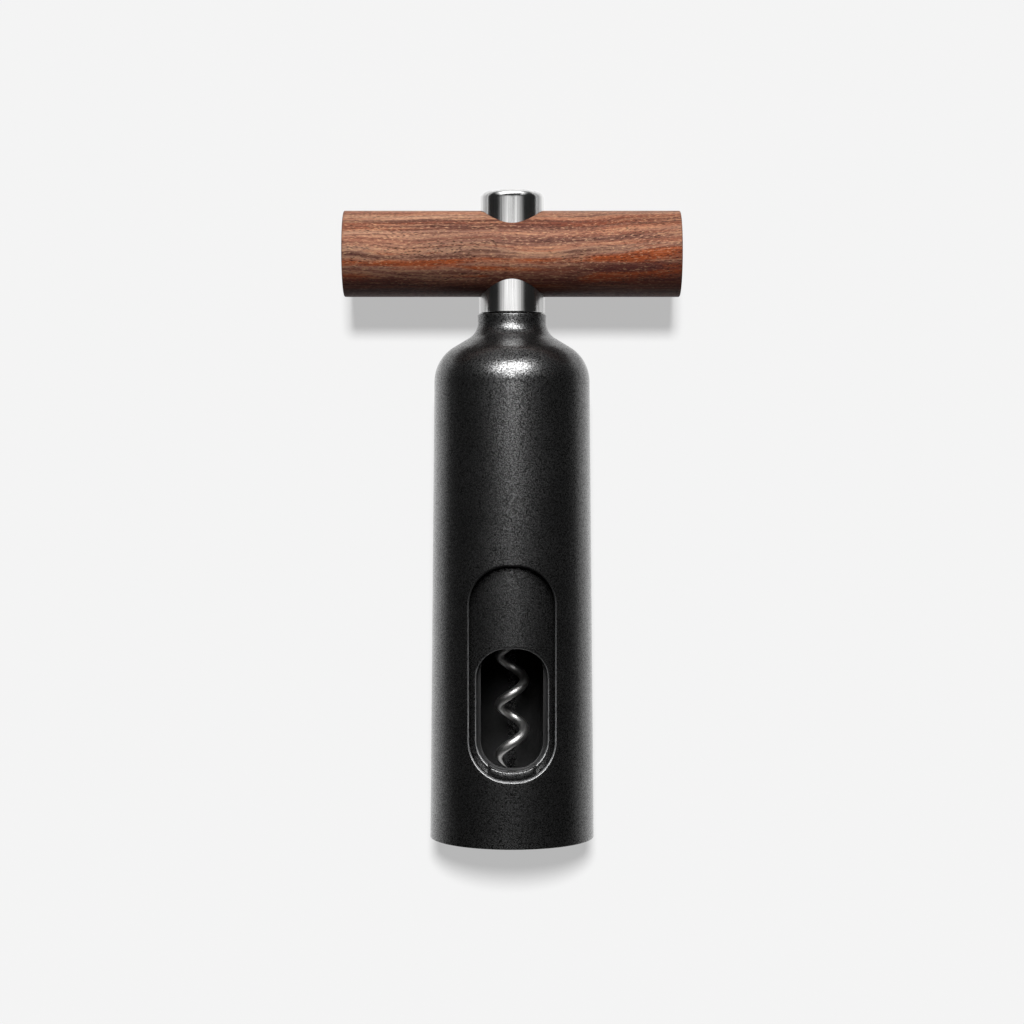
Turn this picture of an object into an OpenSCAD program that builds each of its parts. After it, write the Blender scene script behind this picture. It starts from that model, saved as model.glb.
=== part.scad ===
// Self-pulling corkscrew: a bottle-shaped body that stands over the bottle's neck, and a T-handle
// that turns a worm through the top of the body. Turning one way drives the worm into the cork until
// the body rests on the bottle's lip, and turning on the same way pulls the cork up the worm.
//
// Frame: +Z up along the worm's axis, origin at the centre of the base rim, handle along X, and the
// window faces -Y. Millimetres. The handle is drawn all the way down.

/* [Body shell] */
// Outer radius of the base rim
base_r = 23; // [21:0.5:26]
// Outer radius where the shoulder starts
shoulder_r = 21.75; // [20:0.25:22.5]
// Height where the shoulder starts
shoulder_z = 128; // [122:1:134]
// Radius of the shoulder's round
shoulder_round = 11.3; // [9:0.1:12]
// Slope of the shoulder above its round, in degrees
shoulder_slope = 31; // [25:1:38]
// Outer radius of the neck
neck_r = 9.62; // [9.4:0.02:10.4]
// Hollow round between the shoulder and the neck
neck_round = 5; // [3:0.5:6]
// Height of the neck's rim
neck_z = 146.7; // [146:0.1:150]
// Wall thickness of the shell
wall = 2.1; // [1.8:0.1:2.6]

/* [Windows] */
// Width of the shell's window
window_w = 23.5; // [20:0.5:26]
// Lowest point of the shell's window
window_low_z = 18.6; // [17:0.2:22]
// Highest point of the shell's window
window_high_z = 77; // [70:1:79]
// Corner radius of the shell's window
window_corner = 10.65; // [8:0.05:11]
// Width of the opening in the inner sleeve
opening_w = 19.6; // [17:0.2:21]
// Even border between the shell's window and the opening's lower end
opening_border = 2.4; // [2:0.2:3]
// Highest point of the opening in the inner sleeve
opening_high_z = 54.5; // [46:0.5:58]
// Corner radius of the opening in the inner sleeve
opening_corner = 8.4; // [6:0.1:9]

/* [Bottle guide] */
// Radius of the mouth that slides over the bottle's neck
mouth_r = 15.6; // [15.2:0.1:16]
// Height where the bottle's lip stops
lip_z = 57; // [55:0.5:60]
// Radius of the chamber that the cork rises into
cork_r = 14; // [13:0.25:14.5]
// Width of the split down the back of the liner
liner_split_w = 2.3; // [1:0.1:4]

/* [Worm] */
// Outer radius of the worm
worm_r = 4.8; // [4:0.1:5]
// Diameter of the worm's wire
wire_d = 2.7; // [2:0.1:2.8]
// Rise of the worm in one turn
worm_pitch = 13.9; // [10:0.1:15]
// Height of the worm's point
tip_z = 19; // [18:0.5:24]
// Angle of the worm's point about the axis, in degrees from +X
tip_angle = 113; // [0:1:360]

/* [Handle] */
// Length of the handle
handle_l = 94; // [80:1:110]
// Diameter of the handle
handle_d = 24; // [23:0.5:28]
// Height of the handle's axis
handle_z = 163.7; // [163:0.1:168]
// Diameter of the steel collar below the handle
collar_d = 18.4; // [17:0.1:19]
// Diameter of the steel cap above the handle
cap_d = 18; // [17:0.1:19]
// Height of the cap's top
cap_z = 181; // [180:0.5:186]
// Round on the cap's top edge
cap_round = 2; // [1:0.25:3]

/* [Spindle] */
// Radius of the spindle
spindle_r = 5; // [4.6:0.05:5.2]
// Height of the spindle's lower end
spindle_low_z = 102; // [100:0.5:104]
// How far the handle lifts
lift = 30; // [24:1:30]

/* [Hidden] */
$fn = 96;

gap = 0.05;             // air between pieces of one body that slip together
joint_gap = 0.05;       // air between flat faces of pieces that turn against each other
bush_gap = 0.06;        // radial running clearance of the spindle in its bush
washer_gap = 0.08;      // radial running clearance round the thrust washer
edge_round = 0.3;       // small round on moulded and turned edges
reach = 40;             // longer than anything that it cuts through

// Shell: taper of the side, and the two tangent arcs that join it to the neck
taper = (base_r - shoulder_r) / shoulder_z;
side_angle = atan(taper);
slope_normal = 90 - shoulder_slope;
shoulder_c = [shoulder_r - shoulder_round * cos(side_angle), shoulder_z - shoulder_round * sin(side_angle)];
slope_start = shoulder_c + shoulder_round * [cos(slope_normal), sin(slope_normal)];
neck_c_r = neck_r + neck_round;
slope_end_r = neck_c_r - neck_round * cos(slope_normal);
slope_end_z = slope_start[1] + (slope_start[0] - slope_end_r) * tan(shoulder_slope);
neck_c = [neck_c_r, slope_end_z + neck_round * sin(slope_normal)];
inner_base_r = base_r - wall;
inner_slope_start = shoulder_c + (shoulder_round - wall) * [cos(slope_normal), sin(slope_normal)];

// Neck: bush, thrust washer and the boss that holds the bush
bush_wall = 2.3;
bush_r = spindle_r + bush_gap + bush_wall;
bush_low_z = 138;
boss_wall = 2;
boss_r = bush_r + boss_wall;
flange_r = 8.25;
flange_t = 1.2;
collar_low_z = neck_z + 0.3;
washer_t = 1.55;
washer_z = collar_low_z - joint_gap - washer_t;
flange_z = washer_z - joint_gap - flange_t;
recess_r = flange_r + gap;
boss_top_z = inner_slope_start[1] + (inner_slope_start[0] - boss_r) * tan(shoulder_slope);

// Sleeve, liner and lip seat, which nest inside the shell
opening_low_z = window_low_z + opening_border;
sleeve_gap = 0.3;
sleeve_low_z = 0.3;
mouth_top_z = 15;
mouth_lead = 1.4;
foot_h = 2.7;
liner_r = mouth_r + 0.6;
liner_seat_r = 18;
lip_ring_t = 2.5;
shelf_z = lip_z + lip_ring_t;
shelf_t = 2;
belly_top_z = 79;
chimney_wall = 2;
chimney_top_z = 118;
chimney_z = belly_top_z + 4;
tongue_half_w = 6.4;
slit_w = 0.4;
slit_low_z = 6;
barb_proud = 1.7;

// Worm: helix, then a short run-in to a straight shank on the axis
helix_r = worm_r - wire_d / 2;
run_in_z = spindle_low_z - 7;
shank_z = spindle_low_z - 0.5;
shank_top_z = spindle_low_z + 14;
point_h = 5.5;
point_d = 0.35;
ease_z = 27;             // below this the wire turns more slowly, towards its point
ease = 0.69;             // degrees per square millimetre
worm_sides = 10;
rings_per_turn = 28;
worm_step = worm_pitch / rings_per_turn;

// Spindle: stop washer and retaining ring, set by the lift
stop_z = bush_low_z - lift - joint_gap;
stop_t = 1.2;
ring_t = 1.1;
groove_r = spindle_r - 0.7;
groove_z = stop_z - stop_t - ring_t;
grub_z = groove_z + 5.5;
grub_r = 1.5;

// Hub inside the handle: the nut draws the collar up against a web of wood
web_low_z = handle_z - 3.7;
web_high_z = handle_z + 3.3;
collar_r = collar_d / 2;
cap_r = cap_d / 2;
stud_r = 3;
stud_z = web_low_z - 4;
stud_top_z = web_high_z + 8.6;
nut_washer_t = 1.2;
lock_washer_t = 1.6;
nut_h = 5;
nut_flats = 10;
cavity_r = 7.2;
cavity_h = 10.5;
cap_ring_d = 1;
cap_ring_z = web_high_z + 2.2;
pin_r = 1;
pin_x = 6.6;
pin_low_z = stud_z - 0.8;

function shell_inner_r(z) = inner_base_r - z * taper;
function sleeve_outer_r(z) = shell_inner_r(z) - sleeve_gap;

// Points along an arc about centre c, from angle a to angle b
function arc(c, r, a, b, steps) =
    [for (i = [0 : steps]) let (t = a + (b - a) * i / steps) c + r * [cos(t), sin(t)]];

// Block with rounded corners, centred on x = 0, that runs from y = -8 outwards through the front
module front_cut(width, low_z, high_z, corner) {
    translate([0, -8, 0])
        rotate([90, 0, 0])
            linear_extrude(height = reach) {
                translate([-width / 2 + corner, low_z])
                    square([width - 2 * corner, high_z - low_z]);
                translate([-width / 2, low_z + corner])
                    square([width, high_z - low_z - 2 * corner]);
                for (x = [-1, 1], z = [low_z + corner, high_z - corner])
                    translate([x * (width / 2 - corner), z])
                        circle(r = corner);
            }
}

// Ring between two radii, from one height to another
module ring(inner_r, outer_r, low_z, high_z) {
    difference() {
        translate([0, 0, low_z])
            cylinder(r = outer_r, h = high_z - low_z);
        translate([0, 0, low_z - 1])
            cylinder(r = inner_r, h = high_z - low_z + 2);
    }
}

// ---- Body ----

module shell_outline() {
    outer = concat(
        [[base_r, 0]],
        arc(shoulder_c, shoulder_round, side_angle, slope_normal, 14),
        arc(neck_c, neck_round, 180 + slope_normal, 180, 10),
        arc([neck_r - edge_round, neck_z - edge_round], edge_round, 0, 90, 4)
    );
    inner = concat(
        [[recess_r, neck_z], [recess_r, flange_z], [bush_r, flange_z], [bush_r, bush_low_z]],
        [[boss_r, bush_low_z], [boss_r, boss_top_z]],
        arc(shoulder_c, shoulder_round - wall, slope_normal, side_angle, 10),
        [[inner_base_r, 0]]
    );
    polygon(concat(outer, inner));
}

module body_shell() {
    color([0.09, 0.09, 0.095])
        difference() {
            rotate_extrude() shell_outline();
            front_cut(window_w, window_low_z, window_high_z, window_corner);
        }
}

module sleeve_outline() {
    inner = [
        [mouth_r + mouth_lead, sleeve_low_z],
        [mouth_r, sleeve_low_z + mouth_lead],
        [mouth_r, mouth_top_z],
        [liner_seat_r, mouth_top_z],
        [liner_seat_r, shelf_z],
        [cork_r, shelf_z],
        [cork_r, shelf_z + shelf_t],
        [liner_seat_r, shelf_z + shelf_t],
        [liner_seat_r, belly_top_z - shelf_t],
        [cork_r, chimney_z - shelf_t],
        [cork_r, chimney_top_z],
    ];
    outer = [
        [cork_r + chimney_wall, chimney_top_z],
        [cork_r + chimney_wall, chimney_z],
        [sleeve_outer_r(belly_top_z), belly_top_z],
        [sleeve_outer_r(foot_h), foot_h],
        [shell_inner_r(foot_h), foot_h],
        [shell_inner_r(sleeve_low_z), sleeve_low_z],
    ];
    polygon(concat(inner, outer));
}

// Barb on the snap tongue: it fills the border under the opening and rests on the window's sill
module snap_barb() {
    intersection() {
        ring(liner_seat_r + 1, sleeve_outer_r(window_low_z) + barb_proud, window_low_z - 1, window_low_z + 6);
        front_cut(window_w - 2 * gap, window_low_z + gap, window_high_z, window_corner);
        translate([-tongue_half_w, -reach, 0])
            cube([2 * tongue_half_w, reach, reach]);
    }
}

module inner_sleeve() {
    color([0.11, 0.11, 0.115])
        difference() {
            union() {
                rotate_extrude() sleeve_outline();
                snap_barb();
            }
            front_cut(opening_w, opening_low_z, opening_high_z, opening_corner);
            for (side = [-1, 1])
                translate([side * tongue_half_w - slit_w / 2, -reach, slit_low_z])
                    cube([slit_w, reach, opening_low_z + opening_corner - slit_low_z]);
        }
}

module guide_liner() {
    inset = 0.6;
    color([0.07, 0.07, 0.075])
        difference() {
            ring(liner_r, liner_seat_r, mouth_top_z, lip_z);
            front_cut(opening_w - 4 * inset, opening_low_z + inset, opening_high_z + 1, opening_corner - 2 * inset);
            translate([-liner_split_w / 2, 0, 0])
                cube([liner_split_w, reach, lip_z + 1]);
        }
}

module lip_seat_ring() {
    color([0.16, 0.16, 0.16])
        ring(cork_r - 0.5, liner_seat_r - gap, lip_z, shelf_z);
}

module neck_bush() {
    color([0.75, 0.6, 0.35])
        difference() {
            union() {
                translate([0, 0, bush_low_z])
                    cylinder(r = bush_r, h = flange_z - bush_low_z);
                translate([0, 0, flange_z])
                    cylinder(r = flange_r, h = flange_t);
            }
            translate([0, 0, bush_low_z - 1])
                cylinder(r = spindle_r + bush_gap, h = flange_z + flange_t - bush_low_z + 2);
        }
}

module thrust_washer() {
    color([0.9, 0.9, 0.86])
        ring(spindle_r + washer_gap, recess_r - washer_gap, washer_z, washer_z + washer_t);
}

// ---- Handle ----

module handle_outline() {
    round_r = 0.4;
    half = handle_l / 2;
    r = handle_d / 2;
    polygon(concat(
        [[0, -half]],
        arc([r - round_r, -half + round_r], round_r, -90, 0, 4),
        arc([r - round_r, half - round_r], round_r, 0, 90, 4),
        [[0, half]]
    ));
}

module handle_bar() {
    color([0.42, 0.24, 0.17])
        difference() {
            translate([0, 0, handle_z])
                rotate([0, 90, 0])
                    rotate_extrude() handle_outline();
            translate([0, 0, web_low_z - reach])
                cylinder(r = collar_r + gap / 2, h = reach);
            translate([0, 0, web_high_z])
                cylinder(r = cap_r + gap / 2, h = reach);
            translate([0, 0, web_low_z - 1])
                cylinder(r = stud_r + gap, h = web_high_z - web_low_z + 2);
            for (side = [-1, 1])
                translate([side * pin_x, 0, web_low_z - 1])
                    cylinder(r = pin_r + gap, h = web_high_z - web_low_z + 2);
        }
}

module hub_collar() {
    outline = concat(
        [[spindle_r + gap, collar_low_z]],
        arc([collar_r - edge_round, collar_low_z + edge_round], edge_round, -90, 0, 4),
        [[collar_r, web_low_z], [stud_r + gap, web_low_z], [stud_r + gap, stud_z], [spindle_r + gap, stud_z]]
    );
    color([0.78, 0.78, 0.78])
        difference() {
            rotate_extrude() polygon(outline);
            for (side = [-1, 1])
                translate([side * pin_x, 0, pin_low_z - gap])
                    cylinder(r = pin_r + gap, h = web_low_z - pin_low_z + 1);
        }
}

module hub_cap() {
    groove_h = cap_ring_d + 0.4;
    groove_low_z = cap_ring_z - groove_h / 2;
    cavity_z = web_high_z + cavity_h;
    outline = concat(
        [[cap_r, web_high_z], [cap_r, groove_low_z]],
        [[cap_r - cap_ring_d, groove_low_z], [cap_r - cap_ring_d, groove_low_z + groove_h]],
        [[cap_r, groove_low_z + groove_h]],
        arc([cap_r - cap_round, cap_z - cap_round], cap_round, 0, 90, 8),
        [[0, cap_z], [0, cavity_z], [cavity_r, cavity_z], [cavity_r, web_high_z]]
    );
    color([0.8, 0.8, 0.8])
        rotate_extrude() polygon(outline);
}

module cap_ring() {
    color([0.12, 0.12, 0.12])
        translate([0, 0, cap_ring_z])
            rotate_extrude()
                translate([cap_r - cap_ring_d / 2, 0])
                    circle(d = cap_ring_d - gap);
}

module drive_pins() {
    color([0.6, 0.6, 0.62])
        for (side = [-1, 1])
            translate([side * pin_x, 0, pin_low_z])
                cylinder(r = pin_r, h = web_high_z - pin_low_z - 0.5);
}

module nut_washer() {
    color([0.7, 0.7, 0.72])
        ring(stud_r + 0.2, 6, web_high_z, web_high_z + nut_washer_t);
}

module lock_washer() {
    low_z = web_high_z + nut_washer_t;
    color([0.5, 0.5, 0.52])
        difference() {
            ring(stud_r + 0.15, 5.2, low_z, low_z + lock_washer_t);
            translate([-0.4, 0, low_z - 1])
                cube([0.8, 6, lock_washer_t + 2]);
        }
}

module clamp_nut() {
    low_z = web_high_z + nut_washer_t + lock_washer_t;
    color([0.68, 0.68, 0.7])
        difference() {
            translate([0, 0, low_z])
                cylinder(r = nut_flats / sqrt(3), h = nut_h, $fn = 6);
            translate([0, 0, low_z - 1])
                cylinder(r = stud_r, h = nut_h + 2);
        }
}

// ---- Spindle and worm ----

module spindle() {
    nose_h = 1.6;
    chamfer = 0.5;
    outline = [
        [0, spindle_low_z],
        [spindle_r - nose_h, spindle_low_z],
        [spindle_r, spindle_low_z + nose_h],
        [spindle_r, groove_z],
        [groove_r, groove_z],
        [groove_r, groove_z + ring_t],
        [spindle_r, groove_z + ring_t],
        [spindle_r, stud_z],
        [stud_r, stud_z],
        [stud_r, stud_top_z - chamfer],
        [stud_r - chamfer, stud_top_z],
        [0, stud_top_z],
    ];
    color([0.74, 0.74, 0.75])
        difference() {
            rotate_extrude() polygon(outline);
            translate([0, 0, spindle_low_z - 1])
                cylinder(d = wire_d + 2 * gap, h = shank_top_z - spindle_low_z + 1.5);
            translate([0, 0, grub_z])
                rotate([0, 90, 0])
                    cylinder(r = grub_r, h = spindle_r + 1);
        }
}

module stop_washer() {
    color([0.2, 0.2, 0.2])
        ring(spindle_r + gap, spindle_r + 2.5, stop_z - stop_t, stop_z);
}

module retaining_ring() {
    ear_r = 1.1;
    color([0.45, 0.45, 0.47])
        difference() {
            ring(groove_r + gap, spindle_r + 1.6, groove_z + 0.02, groove_z + ring_t - 0.02);
            translate([-ear_r, 0, groove_z - 1])
                cube([2 * ear_r, reach, ring_t + 2]);
        }
}

module worm_grub_screw() {
    socket_r = 0.85;
    start = wire_d / 2 + gap;
    length = spindle_r - 0.35 - start;
    color([0.35, 0.35, 0.37])
        translate([0, 0, grub_z])
            rotate([0, 90, 0])
                difference() {
                    translate([0, 0, start])
                        cylinder(r = grub_r, h = length);
                    translate([0, 0, start + length - 1.5])
                        cylinder(r = socket_r, h = 2, $fn = 6);
                }
}

// Distance from the axis: the helix radius, easing to nothing over the run-in
function worm_reach(z) =
    z <= run_in_z ? helix_r :
    z >= shank_z ? 0 :
    let (t = (z - run_in_z) / (shank_z - run_in_z)) helix_r * (1 - t * t * (3 - 2 * t));

// Angle about the axis: an even helix, easing round more slowly towards the point
function worm_angle(z) =
    tip_angle + 360 * (min(z, shank_z) - tip_z) / worm_pitch
    + ease * (pow(max(0, ease_z - z), 2) - pow(ease_z - tip_z, 2));

function worm_centre(z) =
    let (a = worm_angle(z))
    [worm_reach(z) * cos(a), worm_reach(z) * sin(a), z];

// Wire radius: a point at the tip, full wire above it
function wire_r(z) =
    let (t = min(1, (z - tip_z) / point_h)) (point_d + (wire_d - point_d) * (1 - pow(1 - t, 1.7))) / 2;

// One ring of points square to the wire at height z
function worm_ring(z) =
    let (
        a = worm_angle(z),
        ahead = worm_centre(z + 0.01) - worm_centre(z - 0.01),
        along = ahead / norm(ahead),
        out = [cos(a), sin(a), 0],
        across = out - (out * along) * along,
        u = across / norm(across),
        v = cross(along, u)
    )
    [for (i = [0 : worm_sides - 1])
        let (t = 360 * i / worm_sides)
        worm_centre(z) + wire_r(z) * (cos(t) * u + sin(t) * v)];

module worm() {
    heights = concat([for (z = [tip_z : worm_step : shank_z]) z], [shank_z + 0.5, shank_top_z]);
    rings = [for (z = heights) each worm_ring(z)];
    last = len(heights) - 1;
    sides = [
        for (k = [0 : last - 1], i = [0 : worm_sides - 1])
            let (j = (i + 1) % worm_sides, low = k * worm_sides, high = low + worm_sides)
            each [[low + i, high + j, low + j], [low + i, high + i, high + j]]
    ];
    bottom = [[for (i = [0 : worm_sides - 1]) i]];
    top = [[for (i = [worm_sides - 1 : -1 : 0]) last * worm_sides + i]];
    color([0.6, 0.6, 0.6])
        polyhedron(points = rings, faces = concat(bottom, sides, top));
}

body_shell();
inner_sleeve();
guide_liner();
lip_seat_ring();
neck_bush();
thrust_washer();
handle_bar();
hub_collar();
hub_cap();
cap_ring();
drive_pins();
clamp_nut();
lock_washer();
nut_washer();
spindle();
stop_washer();
retaining_ring();
worm();
worm_grub_screw();
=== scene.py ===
"""Looks for the self-pulling twist corkscrew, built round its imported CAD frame.

Shapes are made in millimetres, in the CAD frame: +Z up the worm's axis, handle along X, window towards -Y.
"""

import math

import bmesh
import bpy
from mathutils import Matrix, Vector


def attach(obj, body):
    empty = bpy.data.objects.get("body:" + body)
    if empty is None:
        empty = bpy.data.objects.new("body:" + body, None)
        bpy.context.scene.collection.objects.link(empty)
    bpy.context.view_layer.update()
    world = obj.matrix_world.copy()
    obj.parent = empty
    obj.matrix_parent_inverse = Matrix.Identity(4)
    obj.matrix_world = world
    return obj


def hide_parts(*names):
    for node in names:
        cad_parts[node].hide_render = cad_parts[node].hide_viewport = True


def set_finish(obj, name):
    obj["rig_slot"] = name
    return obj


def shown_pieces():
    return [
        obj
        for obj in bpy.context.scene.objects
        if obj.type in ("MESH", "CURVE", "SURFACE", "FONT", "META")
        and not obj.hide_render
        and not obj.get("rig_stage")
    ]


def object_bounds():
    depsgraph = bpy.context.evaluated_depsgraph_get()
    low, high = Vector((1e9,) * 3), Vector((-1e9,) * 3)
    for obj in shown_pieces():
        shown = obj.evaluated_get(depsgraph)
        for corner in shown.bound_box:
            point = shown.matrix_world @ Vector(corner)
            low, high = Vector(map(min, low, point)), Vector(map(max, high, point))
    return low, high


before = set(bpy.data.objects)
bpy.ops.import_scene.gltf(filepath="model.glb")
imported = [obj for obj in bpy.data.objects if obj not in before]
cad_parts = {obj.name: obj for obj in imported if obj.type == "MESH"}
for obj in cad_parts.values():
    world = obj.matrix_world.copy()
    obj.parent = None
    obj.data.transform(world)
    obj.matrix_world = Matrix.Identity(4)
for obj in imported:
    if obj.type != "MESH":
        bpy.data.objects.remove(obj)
cad_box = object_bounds()

MM = 0.001
COLUMNS = 192  # facets round a turned wall
PATCH_MARGIN = 1  # rows of a holed wall below and above its patch


# ---- Mesh helpers ----


def linked(name, data):
    """A new object in the scene."""
    made = bpy.data.objects.new(name, data)
    bpy.context.scene.collection.objects.link(made)
    return made


def mesh_object(name, points, faces, sharp=38):
    """An object from points in mm, smooth shaded, with edges over `sharp` degrees kept crisp."""
    mesh = bpy.data.meshes.new(name)
    mesh.from_pydata([tuple(c * MM for c in p) for p in points], [], faces)
    bm = bmesh.new()
    bm.from_mesh(mesh)
    bmesh.ops.remove_doubles(bm, verts=bm.verts, dist=1e-7)
    bmesh.ops.recalc_face_normals(bm, faces=bm.faces)
    bm.to_mesh(mesh)
    bm.free()
    made = linked(name, mesh)
    crisp(made, sharp)
    return made


def crisp(obj, sharp=38):
    """Smooth shading, with edges over `sharp` degrees kept crisp."""
    obj.data.shade_smooth()
    obj.data.set_sharp_from_angle(angle=math.radians(sharp))


def weigh_normals(obj):
    """Large faces hold their normals, so that a small round beside them doesn't shade across them."""
    bpy.context.view_layer.objects.active = obj
    m = obj.modifiers.new("weights", "WEIGHTED_NORMAL")
    m.keep_sharp = True
    m.weight = 90
    bpy.ops.object.modifier_apply(modifier=m.name)


def cut(obj, *cutters):
    """Takes the cutters away from obj, and removes them."""
    for c in cutters:
        m = obj.modifiers.new("cut", "BOOLEAN")
        m.operation, m.solver, m.object = "DIFFERENCE", "EXACT", c
        bpy.context.view_layer.objects.active = obj
        bpy.ops.object.modifier_apply(modifier=m.name)
        bpy.data.objects.remove(c)
    crisp(obj)


def block(low, high):
    """A plain box for cutting with, from corner to corner in mm."""
    corners = [(x, y, z) for x in (low[0], high[0]) for y in (low[1], high[1]) for z in (low[2], high[2])]
    faces = [(0, 1, 3, 2), (4, 6, 7, 5), (0, 4, 5, 1), (2, 3, 7, 6), (0, 2, 6, 4), (1, 5, 7, 3)]
    return mesh_object("cutter", corners, faces)


def arc(centre, radius, start, end, steps):
    """Points along an arc, angles in degrees."""
    turns = [math.radians(start + (end - start) * i / steps) for i in range(steps + 1)]
    return [(centre[0] + radius * math.cos(t), centre[1] + radius * math.sin(t)) for t in turns]


def line(a, b, step):
    """Points from a up to but not including b, about `step` apart."""
    n = max(1, round(math.dist(a, b) / step))
    return [(a[0] + (b[0] - a[0]) * i / n, a[1] + (b[1] - a[1]) * i / n) for i in range(n)]


def around(r, z, k, columns=COLUMNS):
    """The point at radius r and height z on column k; column 0 faces -Y."""
    t = 2 * math.pi * k / columns
    return (r * math.sin(t), -r * math.cos(t), z)


def turned(name, outline, columns=COLUMNS, sharp=38, centre=(0, 0)):
    """A closed outline of (r, z) turned about Z, or about the vertical line through `centre`."""
    points, faces, rows = [], [], []
    for r, z in outline:
        if r < 1e-6:
            rows.append([len(points)] * columns)
            points.append((centre[0], centre[1], z))
        else:
            rows.append(list(range(len(points), len(points) + columns)))
            ring = [around(r, z, k, columns) for k in range(columns)]
            points += [(x + centre[0], y + centre[1], z) for x, y, z in ring]
    for i, low in enumerate(rows):
        high = rows[(i + 1) % len(rows)]
        for k in range(columns):
            n = (k + 1) % columns
            face = list(dict.fromkeys((low[k], low[n], high[n], high[k])))
            if len(face) > 2:
                faces.append(face)
    return mesh_object(name, points, faces, sharp)


def plug(r, low, high, columns=COLUMNS, x=0):
    """An upright cylinder for cutting with."""
    return turned("cutter", [(0, low), (r, low), (r, high), (0, high)], columns=columns, centre=(x, 0))


def outline_point(p, half_w, low_z, high_z, corner):
    """Where the front hole's outline comes nearest to p = (x, z): its arc centre, and the way outwards."""
    c = Vector((
        max(-half_w + corner, min(half_w - corner, p[0])),
        max(low_z + corner, min(high_z - corner, p[1])),
    ))
    return c, (Vector(p) - c).normalized()


def holed(name, skin, lining, rest_up, rest_down, hole, patch_k, rows, edge, inner_edge):
    """A turned wall with a rounded hole through its front.

    skin(z) and lining(z) give the outer and inner radius over the rows of heights, which the hole lies
    within. rest_up is the outline from the top of the skin's rows round to the top of the lining's, and
    rest_down from the bottom of the lining's to the bottom of the skin's. patch_k is half the patch's width
    in columns. edge and inner_edge are the rounds on the hole's two edges.
    """
    points, faces = [], []

    def add(p):
        points.append(p)
        return len(points) - 1

    def ring_row(r, z):
        return [add(around(r, z, k)) for k in range(COLUMNS)]

    outer = [ring_row(skin(z), z) for z in rows]
    over = [ring_row(r, z) for r, z in rest_up]
    inner = [ring_row(lining(z), z) for z in reversed(rows)]
    under = [ring_row(r, z) for r, z in rest_down]
    loops = outer + over + inner + under
    last = len(rows) - 1

    def in_patch(i, k):
        """The cell above row i and beside column k lies inside the patch that the hole takes."""
        near_front = min(k, COLUMNS - 1 - k) < patch_k
        on_skin = PATCH_MARGIN <= i < last - PATCH_MARGIN
        j = i - len(outer) - len(over)
        on_lining = PATCH_MARGIN <= j < last - PATCH_MARGIN
        return near_front and (on_skin or on_lining)

    for i, low in enumerate(loops):
        high = loops[(i + 1) % len(loops)]
        for k in range(COLUMNS):
            if not in_patch(i, k):
                n = (k + 1) % COLUMNS
                faces.append((low[k], low[n], high[n], high[k]))

    # The patch's rim, as (row, column) pairs in order round it
    low_i, high_i = PATCH_MARGIN, last - PATCH_MARGIN
    rim = [(low_i, k) for k in range(-patch_k, patch_k)]
    rim += [(i, patch_k) for i in range(low_i, high_i)]
    rim += [(high_i, k) for k in range(patch_k, -patch_k, -1)]
    rim += [(i, -patch_k) for i in range(high_i, low_i, -1)]

    def on_wall(radius, flat, depth=0.0):
        x, z = flat
        return (x, -math.sqrt(radius(z) ** 2 - x * x) + depth, z)

    strips = []
    for i, k in rim:
        z = rows[i]
        start = around(skin(z), z, k)
        end = around(lining(z), z, k)
        c, n = outline_point((start[0], z), *hole)
        corner = hole[3]
        strip = [outer[i][k % COLUMNS]]
        wide = c + n * (corner + edge)
        for share in (0.62, 0.3, 0.1):
            strip.append(add(on_wall(skin, wide.lerp(Vector((start[0], z)), share))))
        for turn in (0, 18, 36, 54, 72, 90):
            t = math.radians(turn)
            p = c + n * (corner + edge * (1 - math.sin(t)))
            strip.append(add(on_wall(skin, p, edge * (1 - math.cos(t)))))
        for turn in (90, 45, 0):
            t = math.radians(turn)
            p = c + n * (corner + inner_edge * (1 - math.sin(t)))
            strip.append(add(on_wall(lining, p, -inner_edge * (1 - math.cos(t)))))
        wide = c + n * (corner + inner_edge)
        for share in (0.12, 0.5):
            strip.append(add(on_wall(lining, wide.lerp(Vector((end[0], z)), share))))
        strip.append(inner[last - i][k % COLUMNS])
        strips.append(strip)
    for i, a in enumerate(strips):
        b = strips[(i + 1) % len(strips)]
        for j in range(len(a) - 1):
            faces.append((a[j], b[j], b[j + 1], a[j + 1]))
    return mesh_object(name, points, faces, sharp=50)


def heights(low, high, step):
    """Evenly spaced heights from low to high, both included."""
    n = round((high - low) / step)
    return [low + (high - low) * i / n for i in range(n + 1)]


# ---- Body shell ----

BASE_R, SHOULDER_R, SHOULDER_Z = 22.995, 21.75, 128
SHOULDER_ROUND, SHOULDER_SLOPE = 11.3, 31
NECK_R, NECK_ROUND, NECK_Z = 9.62, 5, 146.7
WALL = 2.1
RIM_ROUND = 0.3
BUSH_R, BUSH_LOW_Z, RECESS_R, RECESS_Z = 7.36, 138, 8.3, 144.15
BOSS_R = BUSH_R + 2
WINDOW = (23.5 / 2, 18.6, 77, 10.65)  # half width, low, high, corner radius
WINDOW_ROUND, OPENING_ROUND = 0.6, 0.5
WINDOW_ROWS = (15.6, 80)  # the heights between which the wall is cut into rows round the window
ABOVE_ROWS_Z = 82.5  # the next ring above those rows
BASE_ROUND, SKIRT_Z = 0.25, 0.15

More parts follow.
